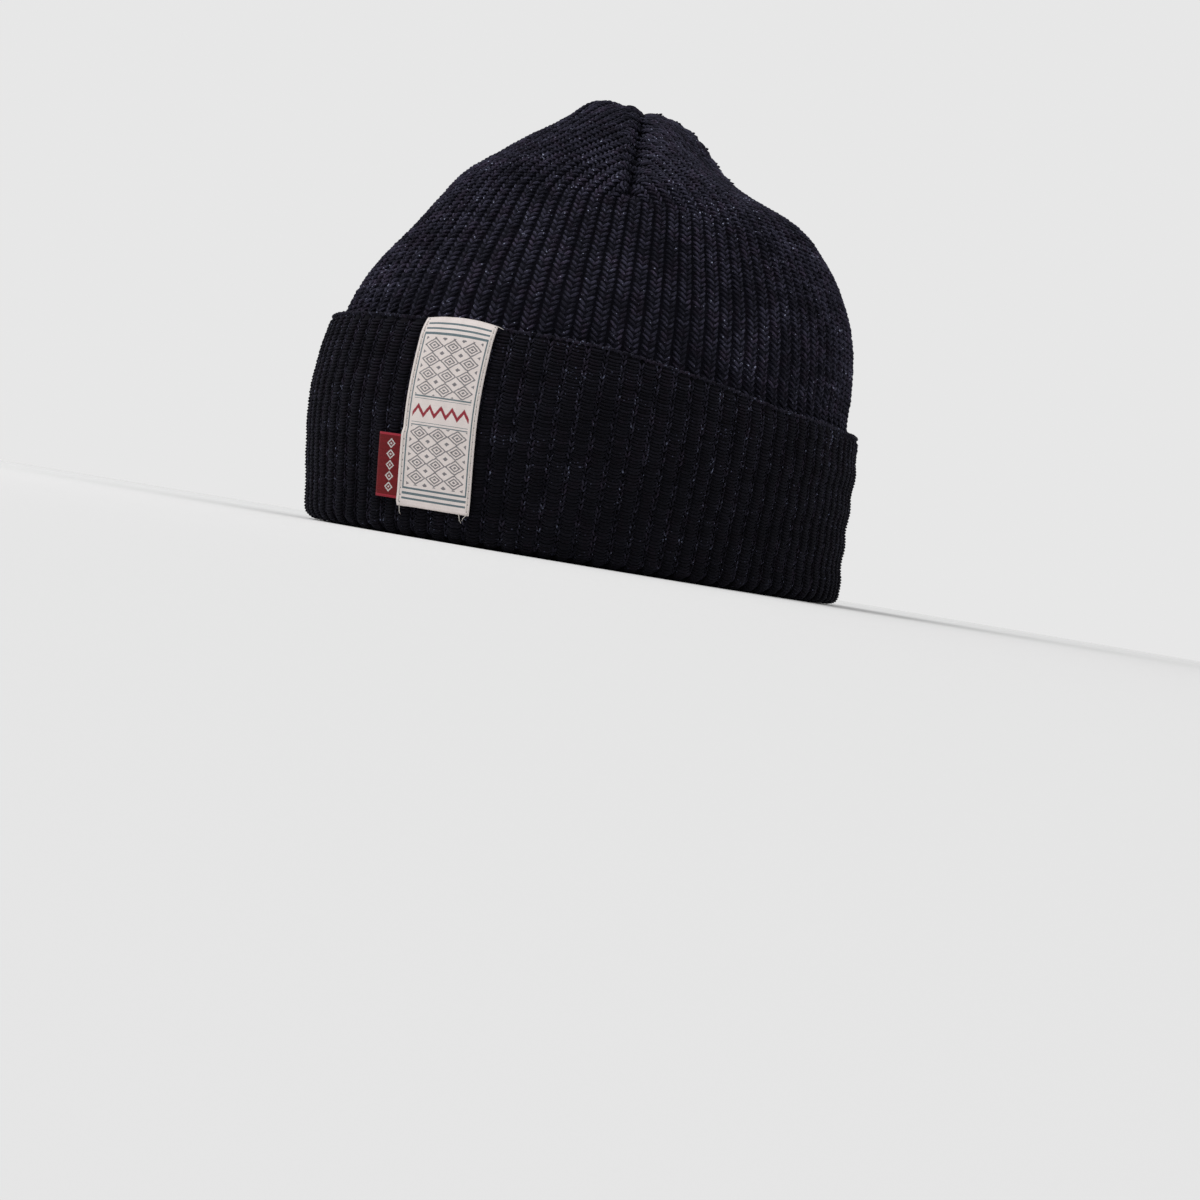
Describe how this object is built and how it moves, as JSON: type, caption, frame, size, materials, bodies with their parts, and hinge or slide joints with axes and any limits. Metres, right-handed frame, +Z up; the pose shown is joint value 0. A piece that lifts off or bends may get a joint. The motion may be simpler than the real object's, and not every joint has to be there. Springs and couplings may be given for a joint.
{
  "type": "knitted beanie",
  "caption": "Ribbed knitted beanie with a pointed, darted crown, a turned-up cuff, an upright woven label and a small side tab.",
  "frame": {"origin": "middle of the oval that the hat rests on, at the fold of its cuff", "axes": "+Z up through the crown's tip, -Y towards the front, where the label is just off the middle, +X to the wearer's left"},
  "size_m": [0.1711, 0.2074, 0.1619],
  "materials": {
    "crown_knit": "near-black indigo ribbed cotton knit with pale flecks, matt and slightly fuzzy",
    "cuff_knit": "near-black indigo ribbed cotton knit, reverse side out, matt",
    "label_weave": "cream damask-woven label with grey-blue woven stripes",
    "tab_weave": "red woven ribbon, folded"
  },
  "bodies": {
    "root": {"crown": "crown_knit", "cuff": "cuff_knit", "woven_label": "label_weave", "side_tab": "tab_weave"}
  },
  "joints": []
}
